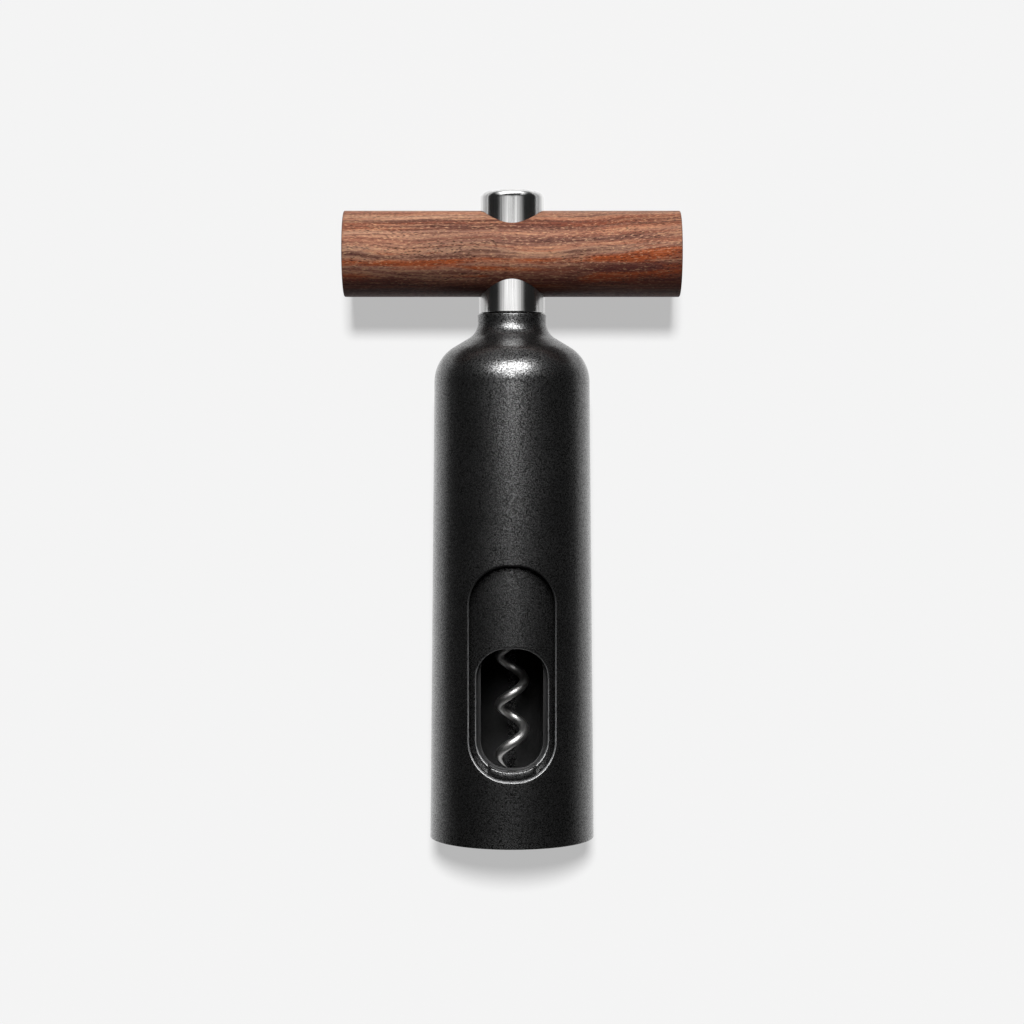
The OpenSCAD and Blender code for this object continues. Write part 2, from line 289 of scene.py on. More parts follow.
taper = (BASE_R - SHOULDER_R) / SHOULDER_Z
side = math.degrees(math.atan(taper))
tilt = 90 - SHOULDER_SLOPE
shoulder_c = (
    SHOULDER_R - SHOULDER_ROUND * math.cos(math.radians(side)),
    SHOULDER_Z - SHOULDER_ROUND * math.sin(math.radians(side)),
)
slope = math.tan(math.radians(SHOULDER_SLOPE))
slope_start = arc(shoulder_c, SHOULDER_ROUND, tilt, tilt, 1)[0]
neck_c_r = NECK_R + NECK_ROUND
slope_end_r = neck_c_r - NECK_ROUND * math.cos(math.radians(tilt))
slope_end_z = slope_start[1] + (slope_start[0] - slope_end_r) * slope
neck_c = (neck_c_r, slope_end_z + NECK_ROUND * math.sin(math.radians(tilt)))
inner_slope_start = arc(shoulder_c, SHOULDER_ROUND - WALL, tilt, tilt, 1)[0]
boss_top_z = inner_slope_start[1] + (inner_slope_start[0] - BOSS_R) * slope


def shell_r(z):
    return BASE_R - z * taper


def shell_inner_r(z):
    return shell_r(z) - WALL


def body_shell():
    rows = heights(*WINDOW_ROWS, 0.92)
    neck_rim = arc((NECK_R - RIM_ROUND, NECK_Z - RIM_ROUND), RIM_ROUND, 0, 90, 5)
    up = line((shell_r(ABOVE_ROWS_Z), ABOVE_ROWS_Z), (SHOULDER_R, SHOULDER_Z), 3.5)
    up += arc(shoulder_c, SHOULDER_ROUND, side, tilt, 26)
    up += line(slope_start, (slope_end_r, slope_end_z), 1.0)[1:]
    up += arc(neck_c, NECK_ROUND, 180 + tilt, 180, 16)
    up += line((NECK_R, neck_c[1]), neck_rim[0], 0.6)[1:] + neck_rim
    up += [(RECESS_R + 0.1, NECK_Z), (RECESS_R, NECK_Z - 0.1), (RECESS_R, RECESS_Z), (BUSH_R, RECESS_Z)]
    up += [(BUSH_R, BUSH_LOW_Z), (BOSS_R, BUSH_LOW_Z), (BOSS_R, boss_top_z)]
    up += arc(shoulder_c, SHOULDER_ROUND - WALL, tilt, side, 14)
    up += line((shell_inner_r(SHOULDER_Z), SHOULDER_Z), (shell_inner_r(ABOVE_ROWS_Z), ABOVE_ROWS_Z), 5)[1:]
    low_row = WINDOW_ROWS[0]
    base = arc((BASE_R - BASE_ROUND, BASE_ROUND), BASE_ROUND, -90, 0, 4)
    down = line((shell_inner_r(low_row), low_row), (shell_inner_r(SKIRT_Z), SKIRT_Z), 3)[1:]
    down += [(shell_inner_r(SKIRT_Z), SKIRT_Z), (shell_inner_r(0) + SKIRT_Z, 0)] + base
    down += line((shell_r(0.45), 0.45), (shell_r(low_row), low_row), 2.6)
    made = holed("shell", shell_r, shell_inner_r, up, down, WINDOW, 20, rows, WINDOW_ROUND, 0.15)
    weigh_normals(made)
    return made


# ---- Inner sleeve, liner ----

SLEEVE_GAP, SLEEVE_LOW_Z, FOOT_Z = 0.3, 0.3, 2.7
MOUTH_R, MOUTH_LEAD, MOUTH_TOP_Z = 15.6, 1.4, 15
LINER_R, SEAT_R, LIP_Z, SHELF_Z, SHELF_T = 16.2, 18, 57, 59.5, 2
CORK_R, CHIMNEY_R, BELLY_Z, CHIMNEY_Z, CHIMNEY_TOP_Z = 14, 16, 79, 83, 118
OPENING = (19.6 / 2, 21.0, 54.5, 8.4)
OPENING_ROWS, ABOVE_OPENING_Z = (18.2, 57.4), 58
LINER_OPENING = (17.2 / 2, 21.6, 55.3, 7.2)
TONGUE, SLIT_W, SLIT_LOW_Z, SLIT_HIGH_Z = 6.4, 0.4, 6, 29.4
BARB_PROUD, SPLIT_W = 1.7, 2.3


def sleeve_r(z):
    return shell_inner_r(z) - SLEEVE_GAP


def inner_sleeve():
    rows = heights(*OPENING_ROWS, 0.8)
    up = line((sleeve_r(ABOVE_OPENING_Z), ABOVE_OPENING_Z), (sleeve_r(BELLY_Z), BELLY_Z), 2.5)
    up += [(sleeve_r(BELLY_Z), BELLY_Z), (CHIMNEY_R, CHIMNEY_Z)]
    up += line((CHIMNEY_R, CHIMNEY_Z + 0.3), (CHIMNEY_R, CHIMNEY_TOP_Z), 5) + [(CHIMNEY_R, CHIMNEY_TOP_Z)]
    up += [(CORK_R, CHIMNEY_TOP_Z)] + line((CORK_R, CHIMNEY_TOP_Z - 1), (CORK_R, CHIMNEY_Z - SHELF_T), 5)
    up += [(CORK_R, CHIMNEY_Z - SHELF_T), (SEAT_R, BELLY_Z - SHELF_T), (SEAT_R, SHELF_Z + SHELF_T)]
    up += [(CORK_R, SHELF_Z + SHELF_T), (CORK_R, SHELF_Z), (SEAT_R, SHELF_Z), (SEAT_R, ABOVE_OPENING_Z)]
    down = [(SEAT_R, MOUTH_TOP_Z), (MOUTH_R, MOUTH_TOP_Z)]
    down += line((MOUTH_R, MOUTH_TOP_Z - 0.3), (MOUTH_R, SLEEVE_LOW_Z + MOUTH_LEAD), 2)
    down += [(MOUTH_R, SLEEVE_LOW_Z + MOUTH_LEAD), (MOUTH_R + MOUTH_LEAD, SLEEVE_LOW_Z)]
    down += [(shell_inner_r(SLEEVE_LOW_Z), SLEEVE_LOW_Z), (shell_inner_r(FOOT_Z), FOOT_Z)]
    down += [(sleeve_r(FOOT_Z), FOOT_Z)]
    low_row = OPENING_ROWS[0]
    down += line((sleeve_r(FOOT_Z + 0.3), FOOT_Z + 0.3), (sleeve_r(low_row), low_row), 2.5)
    made = holed("sleeve", sleeve_r, lambda z: SEAT_R, up, down, OPENING, 18, rows, OPENING_ROUND, 0.12)
    slits = [
        block((s * TONGUE - SLIT_W / 2, -25, SLIT_LOW_Z), (s * TONGUE + SLIT_W / 2, -10, SLIT_HIGH_Z))
        for s in (-1, 1)
    ]
    cut(made, *slits)
    weigh_normals(made)
    return made


def snap_barb():
    """The tongue's barb: it fills the border between the window's sill and the opening."""
    half = TONGUE - SLIT_W / 2 - 0.02
    out_r = sleeve_r(WINDOW[1]) + BARB_PROUD
    back_r = SEAT_R + 0.2
    soft = 0.22
    columns = [-half + 2 * half * i / 40 for i in range(41)]

    def ends(x, inset=0.0):
        """Heights of the window's sill and of the opening's lower edge at x."""
        low = WINDOW[1] + WINDOW[3] - math.sqrt((WINDOW[3] - 0.05 - inset) ** 2 - max(0, abs(x) - 1.1) ** 2)
        high = OPENING[1] + OPENING[3] - math.sqrt((OPENING[3] + inset) ** 2 - max(0, abs(x) - 1.4) ** 2)
        return low, high

    points, faces = [], []
    n = 9  # points in a section
    for x in columns:
        edge = min(1.0, (half - abs(x)) / soft)
        dip = soft * (1 - math.sqrt(max(0.0, 1 - (1 - edge) ** 2)))
        low, high = ends(x)
        r = out_r - dip
        section = [(back_r, low), (r - soft, low), (r - soft * 0.3, low + soft * 0.3), (r, low + soft)]
        section += [(r, low + (high - low) * 0.5), (r, high - soft)]
        section += [(r - soft * 0.3, high - soft * 0.3), (r - soft, high), (back_r, high)]
        for rr, z in section:
            points.append((x, -math.sqrt(rr * rr - x * x), z))
    for i in range(len(columns) - 1):
        for j in range(n):
            a, b = i * n + j, i * n + (j + 1) % n
            faces.append((a, b, b + n, a + n))
    faces.append(tuple(range(n)))
    faces.append(tuple(range(len(points) - n, len(points))))
    return mesh_object("snap_barb", points, faces)


def guide_liner():
    rows = heights(18.4, LIP_Z - 0.5, 0.8)
    soft = 0.1
    up = [(SEAT_R, LIP_Z - soft), (SEAT_R - soft, LIP_Z), (LINER_R + soft, LIP_Z), (LINER_R, LIP_Z - soft)]
    down = [(LINER_R, MOUTH_TOP_Z + soft), (LINER_R + soft, MOUTH_TOP_Z)]
    down += [(SEAT_R - soft, MOUTH_TOP_Z), (SEAT_R, MOUTH_TOP_Z + soft)]
    made = holed("liner", lambda z: SEAT_R, lambda z: LINER_R, up, down, LINER_OPENING, 18, rows, 0.2, 0.2)
    cut(made, block((-SPLIT_W / 2, 10, 10), (SPLIT_W / 2, 25, 60)))
    return made


# ---- Handle ----

HANDLE_L, HANDLE_R, HANDLE_Z, HANDLE_ROUND = 94, 12, 163.7, 0.4
WEB_LOW_Z, WEB_HIGH_Z = 160, 167
COLLAR_R, COLLAR_LOW_Z, CAP_R, CAP_Z, CAP_ROUND = 9.2, 147, 9.0, 181, 2
STUD_R, STUD_Z, SPINDLE_R, GAP = 3, 156, 5, 0.05
PIN_R, PIN_X, PIN_LOW_Z = 1, 6.6, 155.2
CAVITY_R, CAVITY_Z = 7.2, 177.5
GROOVE_Z, GROOVE_H, GROOVE_D = 169.2, 1.4, 1
SADDLE_GAP = 0.09  # air round the collar and cap where they enter the wood
BELOW_BAR_Z, ABOVE_BAR_Z = 140, 190  # how far the cutters reach
WEB_CUT = (158, 169)
COLLAR_CUT_Z = 162


def handle_bar():
    half = HANDLE_L / 2
    soft = HANDLE_ROUND
    end = [(0, -half), (5, -half), (9, -half), (HANDLE_R - soft - 0.5, -half)]
    outline = end + arc((HANDLE_R - soft, -half + soft), soft, -90, 0, 5)
    outline += line((HANDLE_R, -half + soft + 0.5), (HANDLE_R, half - soft - 0.5), 3)
    outline += [(HANDLE_R, half - soft - 0.5)] + arc((HANDLE_R - soft, half - soft), soft, 0, 90, 5)
    outline += [(r, -z) for r, z in reversed(end)]
    made = turned("handle_wood", outline, columns=256)
    # Turned about Z so far; the turn below lays it along X at the handle's height
    for v in made.data.vertices:
        x, y, z = v.co
        v.co = (z, y, -x + HANDLE_Z * MM)
    made.data.update()
    cutters = [
        plug(COLLAR_R + SADDLE_GAP, BELOW_BAR_Z, WEB_LOW_Z),
        plug(CAP_R + SADDLE_GAP, WEB_HIGH_Z, ABOVE_BAR_Z),
        plug(STUD_R + GAP, *WEB_CUT, columns=48),
    ]
    cutters += [plug(PIN_R + GAP, *WEB_CUT, columns=24, x=x) for x in (-PIN_X, PIN_X)]
    cut(made, *cutters)
    return made


def hub_collar():
    soft = 0.3
    outline = [(SPINDLE_R + GAP, COLLAR_LOW_Z + 0.1), (SPINDLE_R + GAP + 0.1, COLLAR_LOW_Z)]
    outline += [(COLLAR_R - soft - 0.3, COLLAR_LOW_Z)]
    outline += arc((COLLAR_R - soft, COLLAR_LOW_Z + soft), soft, -90, 0, 6)
    outline += line((COLLAR_R, COLLAR_LOW_Z + soft + 0.4), (COLLAR_R, WEB_LOW_Z - 0.1), 1.5)
    outline += [(COLLAR_R, WEB_LOW_Z - 0.1), (COLLAR_R - 0.1, WEB_LOW_Z), (STUD_R + GAP, WEB_LOW_Z)]
    outline += [(STUD_R + GAP, STUD_Z), (SPINDLE_R + GAP, STUD_Z)]
    made = turned("collar", outline)
    for x in (-PIN_X, PIN_X):
        cut(made, plug(PIN_R + GAP, PIN_LOW_Z - GAP, COLLAR_CUT_Z, columns=24, x=x))
    weigh_normals(made)
    return made


def hub_cap():
    low, high = GROOVE_Z - GROOVE_H / 2, GROOVE_Z + GROOVE_H / 2
    outline = [(CAP_R, WEB_HIGH_Z), (CAP_R, low)]
    outline += [(CAP_R - GROOVE_D, low), (CAP_R - GROOVE_D, high), (CAP_R, high)]
    outline += line((CAP_R, high + 0.3), (CAP_R, CAP_Z - CAP_ROUND - 0.3), 1.5)
    outline += [(CAP_R, CAP_Z - CAP_ROUND - 0.3)]
    outline += arc((CAP_R - CAP_ROUND, CAP_Z - CAP_ROUND), CAP_ROUND, 0, 90, 16)
    outline += [(CAP_R - CAP_ROUND - 0.4, CAP_Z), (4, CAP_Z), (2, CAP_Z), (0, CAP_Z)]
    outline += [(0, CAVITY_Z), (CAVITY_R - 0.3, CAVITY_Z), (CAVITY_R, CAVITY_Z - 0.3), (CAVITY_R, WEB_HIGH_Z)]
    made = turned("cap", outline)
    weigh_normals(made)
    return made


# ---- Worm ----

WIRE_D, HELIX_R, PITCH = 2.7, 3.45, 13.9
TIP_Z, TIP_ANGLE, POINT_H, POINT_D = 19, 113, 5.5, 0.3
EASE_Z, EASE = 27, 0.69  # below EASE_Z the turn eases, by EASE degrees per square millimetre
RUN_IN_Z, SHANK_Z, SHANK_TOP_Z = 95, 101.5, 116
WIRE_SIDES, WIRE_STEPS = 20, 320
WIRE_INSET = 0.004  # keeps the facets' corners inside the CAD's wire


def worm():
    sides = WIRE_SIDES

    def centre(z):
        """The wire's middle at a height, and the way out from the axis there."""
        t = min(1, max(0, (z - RUN_IN_Z) / (SHANK_Z - RUN_IN_Z)))
        reach = HELIX_R * (1 - t * t * (3 - 2 * t))
        ease = EASE * (max(0, EASE_Z - z) ** 2 - (EASE_Z - TIP_Z) ** 2)
        a = math.radians(TIP_ANGLE + 360 * (min(z, SHANK_Z) - TIP_Z) / PITCH + ease)
        out = Vector((math.cos(a), math.sin(a), 0))
        return Vector((reach * math.cos(a), reach * math.sin(a), z)), out

    def wire_r(z):
        t = min(1, (z - TIP_Z) / POINT_H)
        return (POINT_D + (WIRE_D - POINT_D) * (1 - (1 - t) ** 1.7)) / 2

    zs = [TIP_Z + (SHANK_Z - TIP_Z) * i / WIRE_STEPS for i in range(WIRE_STEPS + 1)]
    zs += [SHANK_Z + 0.5, SHANK_TOP_Z]
    points, faces = [], []
    for z in zs:
        c, out = centre(z)
        along = (centre(z + 0.01)[0] - centre(z - 0.01)[0]).normalized()
        u = (out - along * out.dot(along)).normalized()
        v = along.cross(u)
        r = wire_r(z) - WIRE_INSET
        for i in range(sides):
            t = 2 * math.pi * i / sides
            points.append(tuple(c + (u * math.cos(t) + v * math.sin(t)) * r))
    for k in range(len(zs) - 1):
        for i in range(sides):
            j = (i + 1) % sides
            low, high = k * sides, (k + 1) * sides
            faces.append((low + i, low + j, high + j, high + i))
    faces.append(tuple(range(sides)))
    faces.append(tuple(range(len(points) - sides, len(points))))
    return mesh_object("worm_wire", points, faces)


# ---- Materials ----


class Look:
    """A material's node tree, built a node at a time.

    An input that is a socket is linked; any other is a value. Noise scales are cycles per metre.
    """

    def __init__(self, name):
        self.material = bpy.data.materials.new(name)
        self.material.use_nodes = True
        self.tree = self.material.node_tree
        self.tree.nodes.clear()
        self.place = self.add("ShaderNodeTexCoord").outputs["Object"]

    def add(self, kind, inputs=None, **settings):
        node = self.tree.nodes.new(kind)
        for key, value in settings.items():
            setattr(node, key, value)
        for key, value in (inputs or {}).items():
            if isinstance(value, bpy.types.NodeSocket):
                self.tree.links.new(value, node.inputs[key])
            else:
                node.inputs[key].default_value = value
        return node

    def stretched(self, scale, vector=None):
        return self.add("ShaderNodeMapping", {"Vector": vector or self.place, "Scale": scale}).outputs[0]

    def noise(self, scale, vector=None, detail=2.0, roughness=0.5):
        inputs = {"Vector": vector or self.place, "Scale": scale, "Detail": detail, "Roughness": roughness}
        return self.add("ShaderNodeTexNoise", inputs).outputs["Fac"]

    def axis(self, name, vector=None):
        """One coordinate of a place, in metres."""
        return self.add("ShaderNodeSeparateXYZ", {0: vector or self.place}).outputs[name]

    def ramp(self, factor, *stops):
        """Colours (or greys) at places along 0 to 1."""
        node = self.add("ShaderNodeValToRGB", {"Fac": factor})
        while len(node.color_ramp.elements) < len(stops):
            node.color_ramp.elements.new(0.5)
        for element, (at, value) in zip(node.color_ramp.elements, stops):
            element.position = at
            rgb = value if isinstance(value, tuple) else (value,) * 3
            element.color = (*rgb, 1)
        return node.outputs[0]

    def mix(self, factor, a, b):
        node = self.add("ShaderNodeMix", {0: factor}, data_type="RGBA")
        for key, value in ((6, a), (7, b)):
            if isinstance(value, bpy.types.NodeSocket):
                self.tree.links.new(value, node.inputs[key])
            else:
                node.inputs[key].default_value = (*value, 1)
        return node.outputs[2]

    def math(self, operation, a, b=0.0):
        return self.add("ShaderNodeMath", {0: a, 1: b}, operation=operation).outputs[0]

    def weighed(self, a, share_a, b, share_b):
        """The sum of two values, each times its share."""
        return self.math("ADD", self.math("MULTIPLY", a, share_a), self.math("MULTIPLY", b, share_b))

    def bump(self, height, distance_mm, strength=1.0):
        inputs = {"Height": height, "Distance": distance_mm * MM, "Strength": strength}
        return self.add("ShaderNodeBump", inputs).outputs[0]

    def done(self, color, roughness, normal, **sockets):
        inputs = {"Base Color": color, "Roughness": roughness, "Normal": normal}
        inputs.update({k.replace("_", " "): v for k, v in sockets.items()})
        return self.out(self.add("ShaderNodeBsdfPrincipled", inputs))

    def out(self, shader):
        self.add("ShaderNodeOutputMaterial", {0: shader.outputs[0]})
        return self.material


def plastic(name, grain):
    """Black moulded plastic: a spark-eroded grain that sparkles, under a thin even gloss."""
    dark = 0.0010
    smooth, rough = 0.28, 0.44
    look = Look(name)
    coarse = look.noise(grain, detail=0.5)
    fine = look.noise(grain * 1.9, detail=0.5)
    drift = look.noise(60.0, detail=3.0)
    height = look.weighed(coarse, 0.6, fine, 0.4)
    pits = look.ramp(height, (0.38, 0.0), (0.62, 1.0))
    color = look.mix(pits, (dark * 0.3, dark * 0.3, dark * 0.3), (dark * 2.0, dark * 1.98, dark * 1.98))
    color = look.mix(look.ramp(drift, (0.35, 0.0), (0.7, 0.35)), color, (dark * 1.9, dark * 1.9, dark * 1.95))
    roughness = look.ramp(look.weighed(height, 0.8, drift, 0.2), (0.40, rough), (0.60, smooth))
    gloss = look.ramp(height, (0.40, 0.02), (0.50, 0.32), (0.60, 1.0))
    return look.done(
        color, roughness, look.bump(height, 0.05), IOR=1.72, Specular_IOR_Level=gloss,
        Coat_Weight=0.75, Coat_Roughness=0.25, Coat_IOR=1.5,
    )


def edge_highlight_plastic():
    """The same plastic along an edge's round, smooth, with a painted highlight: a paler line, brightest low
    down, where the light from above falls on the upturned edges.
    """
    look = Look("black_edge_painted_highlight")
    edge_mottle = look.noise(900.0, detail=2.0)
    # Painted highlight: the round gets a pale colour that stands in for the light it catches, mottled by the
    # noise above, which also sets its roughness and bump.
    color = look.mix(look.ramp(edge_mottle, (0.35, 0.0), (0.65, 1.0)), (0.055, 0.055, 0.056), (0.120, 0.120, 0.122))
    height = look.math("MULTIPLY", look.axis("Z"), 10.0)  # decimetres
    # Painted shade higher up: above about 22 mm the pale line fades to near black, so the painted highlight
    # is brightest on the lowest edges.
    color = look.mix(look.ramp(height, (0.22, 0.0), (0.55, 0.70), (0.75, 1.0)), color, (0.003, 0.003, 0.003))
    roughness = look.ramp(edge_mottle, (0.3, 0.42), (0.7, 0.26))
    return look.done(color, roughness, look.bump(edge_mottle, 0.01), Coat_Weight=0.5)


def wood():
    """Dark oiled wood, its grain along X: dark and tan bands, fibres, short open pores, and end grain, with
    painted shade on the bar's lower half.
    """
    look = Look("oiled_rosewood")
    bend = look.noise(26.0, look.stretched((0.55, 1, 1)), detail=2.0)
    shift = look.add("ShaderNodeVectorMath", {0: look.place}, operation="ADD")
    sway = look.math("SUBTRACT", bend, 0.5)
    ways = {"Y": look.math("MULTIPLY", sway, 0.011), "Z": look.math("MULTIPLY", sway, 0.013)}
    spread = look.add("ShaderNodeCombineXYZ", ways)
    look.tree.links.new(spread.outputs[0], shift.inputs[1])
    warped = shift.outputs[0]

    def along(scale_x, scale_yz, detail=2.0, roughness=0.5):
        vector = look.stretched((scale_x, scale_yz, scale_yz), warped)
        return look.noise(1.0, vector, detail=detail, roughness=roughness)

    bands = along(7.0, 170.0, detail=3.0, roughness=0.55)
    veins = along(13.0, 520.0, detail=2.5)
    streaks = along(45.0, 1500.0, detail=2.5, roughness=0.6)
    fibre = along(800.0, 2900.0, detail=1.5, roughness=0.6)
    blotch = along(24.0, 90.0, detail=2.0)
    # Height up the bar, from 0 at its underside to 1 at its top
    height = look.math("SUBTRACT", look.axis("Z", warped), HANDLE_Z * MM)
    height = look.math("ADD", look.math("DIVIDE", height, 2 * HANDLE_R * MM), 0.5)
    color = look.ramp(
        bands,
        (0.34, (0.078, 0.029, 0.021)),
        (0.46, (0.135, 0.058, 0.037)),
        (0.54, (0.190, 0.098, 0.064)),
        (0.66, (0.270, 0.155, 0.100)),
    )
    red = look.ramp(height, (0.0, 0.5), (0.22, 1.0), (0.42, 1.0), (0.55, 0.25))
    red = look.math("MULTIPLY", look.ramp(veins, (0.46, 0.0), (0.60, 0.9)), red)
    color = look.mix(red, color, (0.250, 0.050, 0.009))
    color = look.mix(look.ramp(veins, (0.34, 0.8), (0.44, 0.0)), color, (0.048, 0.017, 0.013))
    color = look.mix(look.ramp(streaks, (0.36, 0.6), (0.46, 0.0)), color, (0.046, 0.017, 0.012))
    color = look.mix(look.ramp(streaks, (0.55, 0.0), (0.68, 0.5)), color, (0.330, 0.180, 0.100))
    color = look.mix(look.ramp(fibre, (0.34, 0.55), (0.44, 0.0)), color, (0.034, 0.012, 0.009))
    color = look.mix(look.ramp(fibre, (0.58, 0.0), (0.68, 0.45)), color, (0.440, 0.270, 0.150))
    color = look.mix(look.ramp(blotch, (0.35, 0.35), (0.6, 0.0)), color, (0.044, 0.017, 0.013))
    # Painted shade: the lower half of the bar is darkened towards its underside, where the light doesn't
    # reach.
    color = look.mix(look.ramp(height, (0.10, 0.68), (0.50, 0.0)), color, (0.034, 0.008, 0.007))
    # End grain: darker, with close growth layers
    out = look.math("ABSOLUTE", look.axis("X"))
    end = look.ramp(look.math("DIVIDE", out, HANDLE_L / 2 * MM), (0.993, 0.0), (0.9995, 0.82))
    layers = look.noise(1.0, look.stretched((60.0, 150.0, 1100.0), warped), detail=4.0, roughness=0.65)
    layers = look.ramp(
        layers,
        (0.36, (0.020, 0.008, 0.006)),
        (0.50, (0.062, 0.028, 0.018)),
        (0.64, (0.120, 0.064, 0.041)),
    )
    color = look.mix(end, color, layers)
    pore_place = look.stretched((620.0, 2700.0, 2700.0), warped)
    pore_cells = look.add("ShaderNodeTexVoronoi", {"Vector": pore_place, "Scale": 1.0, "Randomness": 1.0})
    pore_zone = look.ramp(along(40.0, 260.0), (0.40, 0.0), (0.55, 1.0))
    pores = look.ramp(pore_cells.outputs["Distance"], (0.20, 1.0), (0.34, 0.0))
    pores = look.math("MULTIPLY", pores, pore_zone)
    color = look.mix(look.math("MULTIPLY", pores, 0.85), color, (0.009, 0.004, 0.003))
    roughness = look.ramp(fibre, (0.3, 0.60), (0.7, 0.42))
    relief = look.math("SUBTRACT", look.math("MULTIPLY", fibre, 0.7), pores)
    return look.done(color, roughness, look.bump(relief, 0.07), Specular_IOR_Level=0.05)


def shades(tint, low, high):
    """A darker and a lighter shade of a colour, each channel at most 1."""
    return tuple(c * low for c in tint), tuple(min(1, c * high) for c in tint)


def brushed_steel(name):
    """Steel brushed along Z: fine upright lines."""
    look = Look(name)
    across, along = 2400.0, 40.0
    lines = look.noise(1.0, look.stretched((across, across, along)), detail=2.5, roughness=0.6)
    wide = look.noise(1.0, look.stretched((across * 0.22, across * 0.22, along * 0.6)))
    smear = look.noise(180.0, detail=3.0)
    both = look.weighed(lines, 0.6, wide, 0.4)
    streak = look.ramp(both, (0.40, 0.0), (0.60, 1.0))
    color = look.mix(streak, *shades((0.70, 0.697, 0.692), 0.80, 1.12))
    roughness = look.ramp(look.weighed(both, 0.7, smear, 0.3), (0.35, 0.24), (0.65, 0.13))
    return look.done(color, roughness, look.bump(both, 0.010), Metallic=1.0)


def machined(name, tint, rough, scale=900.0, depth_mm=0.004):
    """Turned or drawn metal: faint rings and an uneven finish. rough holds its smoothest and its roughest."""
    look = Look(name)
    rings = look.noise(1.0, look.stretched((120.0, 120.0, scale * 3)))
    smear = look.noise(scale * 1.6, roughness=0.6)
    both = look.weighed(rings, 0.5, smear, 0.5)
    color = look.mix(both, *shades(tint, 0.86, 1.12))
    roughness = look.ramp(both, (0.35, rough[1]), (0.65, rough[0]))
    return look.done(color, roughness, look.bump(rings, depth_mm, 0.8), Metallic=1.0)


def moulded(name, tint, rough, depth_mm=0.02):
    """Rubber or nylon: a fine matt grain and faint colour drift."""
    look = Look(name)
    grain = look.noise(1800.0)
    color = look.mix(look.noise(120.0), *shades(tint, 0.78, 1.2))
    roughness = look.ramp(grain, (0.35, rough[1]), (0.65, rough[0]))
    return look.done(color, roughness, look.bump(grain, depth_mm, 0.8))


shell_look = plastic("black_spark_eroded", grain=2700.0)
sleeve_look = plastic("black_sleeve", grain=2800.0)
# The painted highlight for the holes' edges.
edge_highlight_look = edge_highlight_plastic()
liner_look = moulded("liner_rubber", (0.005, 0.005, 0.0052), (0.5, 0.66))
wood_look = wood()
steel_look = brushed_steel("brushed_steel")
worm_look = machined("worm_steel_polished", (0.37, 0.367, 0.36), (0.34, 0.48), scale=1200.0, depth_mm=0.008)
spindle_look = machined("spindle_steel_turned", (0.60, 0.595, 0.585), (0.24, 0.34), depth_mm=0.002)
fastener_look = machined("fastener_steel_zinc", (0.5, 0.5, 0.49), (0.3, 0.48), scale=1500.0, depth_mm=0.01)
brass_look = machined("bush_brass_turned", (0.62, 0.45, 0.20), (0.28, 0.44))
nylon_look = moulded("washer_nylon_white", (0.30, 0.295, 0.275), (0.38, 0.52), depth_mm=0.01)
rubber_look = moulded("ring_rubber", (0.005, 0.005, 0.0053), (0.5, 0.68))


# ---- Pieces ----


def paint_edge_highlight(made, hole, edge, past_r):
    """Gives the round along a hole's outer edge the painted highlight.

    past_r is a radius between the wall's two faces.
    """
    made.data.materials.append(edge_highlight_look)
    for face in made.data.polygons:
        x, y, z = (c / MM for c in face.center)
        c, _ = outline_point((x, z), *hole)
        reach = math.dist((x, z), c) - hole[3]
        if y < 0 and -0.02 < reach < edge * 0.7 and math.hypot(x, y) > past_r:
            face.material_index = 1


def stand_in(made, body, slot, look, *nodes, edge_highlight=None):
    """A piece that shows in place of CAD nodes. Its last argument holds the hole, edge and radius for the
    edge's painted highlight.
    """
    made.data.materials.clear()
    made.data.materials.append(look)
    if edge_highlight:
        paint_edge_highlight(made, *edge_highlight)
    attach(made, body)
    if nodes:
        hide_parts(*nodes)
    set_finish(made, slot)
    return made


# The window's and the opening's outer edges get the painted highlight.
shell_edge_highlight = (WINDOW, WINDOW_ROUND, shell_inner_r(WINDOW[1]) - 1.0)
stand_in(body_shell(), "body", "shell_plastic", shell_look, "body_shell", edge_highlight=shell_edge_highlight)
sleeve_edge_highlight = (OPENING, OPENING_ROUND, SEAT_R + 0.7)
stand_in(inner_sleeve(), "body", "sleeve_plastic", sleeve_look, "inner_sleeve", edge_highlight=sleeve_edge_highlight)
stand_in(snap_barb(), "body", "sleeve_plastic", sleeve_look)
stand_in(guide_liner(), "body", "liner_rubber", liner_look, "guide_liner")
stand_in(handle_bar(), "handle", "handle_wood", wood_look, "handle_bar")
stand_in(hub_collar(), "handle", "hub_steel", steel_look, "hub_collar")
stand_in(hub_cap(), "handle", "hub_steel", steel_look, "hub_cap")
stand_in(worm(), "handle", "worm_steel", worm_look, "worm")

KEPT = {
    "lip_seat_ring": ("liner_rubber", liner_look),
    "neck_bush": ("bush_brass", brass_look),
    "thrust_washer": ("washer_nylon", nylon_look),
    "stop_washer": ("washer_nylon", nylon_look),
    "cap_ring": ("liner_rubber", rubber_look),
    "spindle": ("spindle_steel", spindle_look),
    "drive_pins": ("fastener_steel", fastener_look),
    "clamp_nut": ("fastener_steel", fastener_look),
    "lock_washer": ("fastener_steel", fastener_look),
    "nut_washer": ("fastener_steel", fastener_look),
    "retaining_ring": ("fastener_steel", fastener_look),
    "worm_grub_screw": ("fastener_steel", fastener_look),
}
for node, (slot, look) in KEPT.items():
    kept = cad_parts[node]
    if not kept.material_slots:
        kept.data.materials.append(look)
    for s in kept.material_slots:
        s.material = look
    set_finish(kept, slot)


# ---- Stage, light and camera ----

